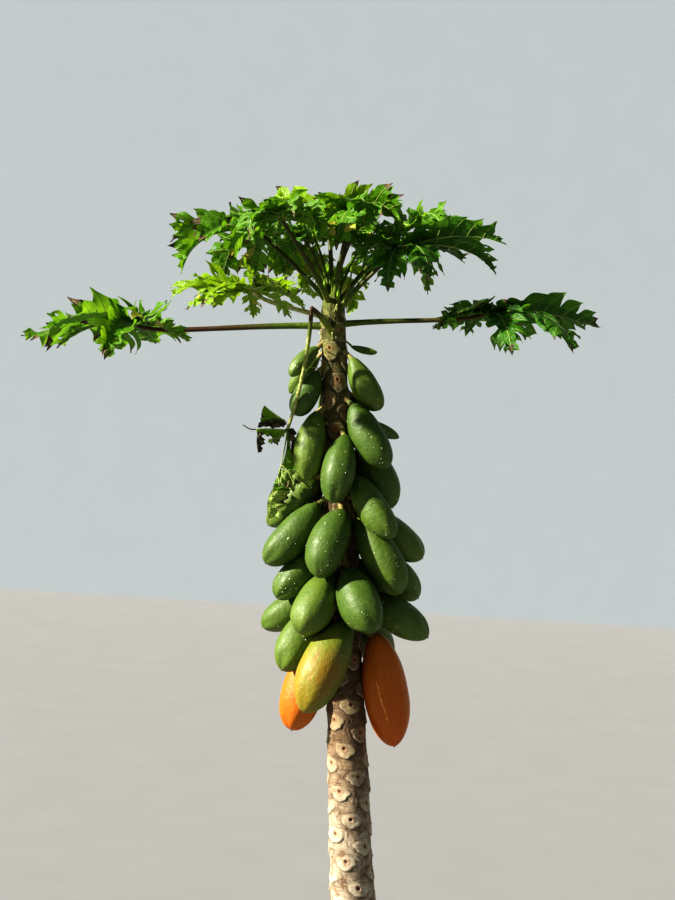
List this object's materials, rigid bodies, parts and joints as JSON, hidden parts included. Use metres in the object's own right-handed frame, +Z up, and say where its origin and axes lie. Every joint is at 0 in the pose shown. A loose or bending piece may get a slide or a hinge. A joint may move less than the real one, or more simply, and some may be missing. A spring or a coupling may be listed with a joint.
{
  "type": "papaya tree",
  "caption": "Papaya tree in fruit: a leaning unbranched trunk, fruit hanging close round its upper half, and a crown of long-stalked lobed leaves.",
  "frame": {"origin": "middle of the flat cut under the trunk, at ground level", "axes": "+Z up, +X to the right and -Y towards the viewer of the picture; the trunk leans towards -X"},
  "size_m": [1.718, 1.0317, 2.6796],
  "materials": {
    "bark": "rough, pale, with leaf scars",
    "leaf_green": "satin leaf",
    "leaf_withered": "dry, crumpled leaf",
    "fruit_green": "waxy skin",
    "fruit_turning": "waxy skin",
    "fruit_ripe": "waxy skin"
  },
  "bodies": {
    "root": {"trunk": "bark", "fruit_01": "fruit_green", "fruit_02": "fruit_green", "fruit_03": "fruit_green", "fruit_04": "fruit_green", "fruit_05": "fruit_green", "fruit_06": "fruit_green", "fruit_07": "fruit_green", "fruit_08": "fruit_green", "fruit_09": "fruit_green", "fruit_10": "fruit_green", "fruit_11": "fruit_green", "fruit_12": "fruit_green", "fruit_13": "fruit_green", "fruit_14": "fruit_green", "fruit_15": "fruit_green", "fruit_16": "fruit_green", "fruit_17": "fruit_green", "fruit_18": "fruit_green", "fruit_19": "fruit_green", "fruit_20": "fruit_green", "fruit_21": "fruit_green", "fruit_22": "fruit_green", "fruit_23": "fruit_green", "fruit_24": "fruit_turning", "fruit_25": "fruit_ripe", "fruit_26": "fruit_ripe", "fruit_27": "fruit_green", "fruit_28": "fruit_green", "fruit_29": "fruit_green", "fruit_30": "fruit_green", "fruit_31": "fruit_green", "fruit_32": "fruit_green", "fruit_33": "fruit_green", "fruit_34": "fruit_green", "fruit_35": "fruit_green", "fruit_36": "fruit_green", "fruit_37": "fruit_green", "fruit_38": "fruit_green", "fruit_39": "fruit_green", "fruit_40": "fruit_green", "fruit_41": "fruit_green", "broken_leaf_stub": "leaf_withered", "broken_leaf_blade": "leaf_withered", "leaf_01": "leaf_green", "leaf_02": "leaf_green", "leaf_03": "leaf_green", "leaf_04": "leaf_green", "leaf_05": "leaf_green", "leaf_06": "leaf_green", "leaf_07": "leaf_green", "leaf_08": "leaf_green", "leaf_09": "leaf_green", "leaf_10": "leaf_green", "leaf_11": "leaf_green", "leaf_12": "leaf_green"}
  },
  "joints": []
}
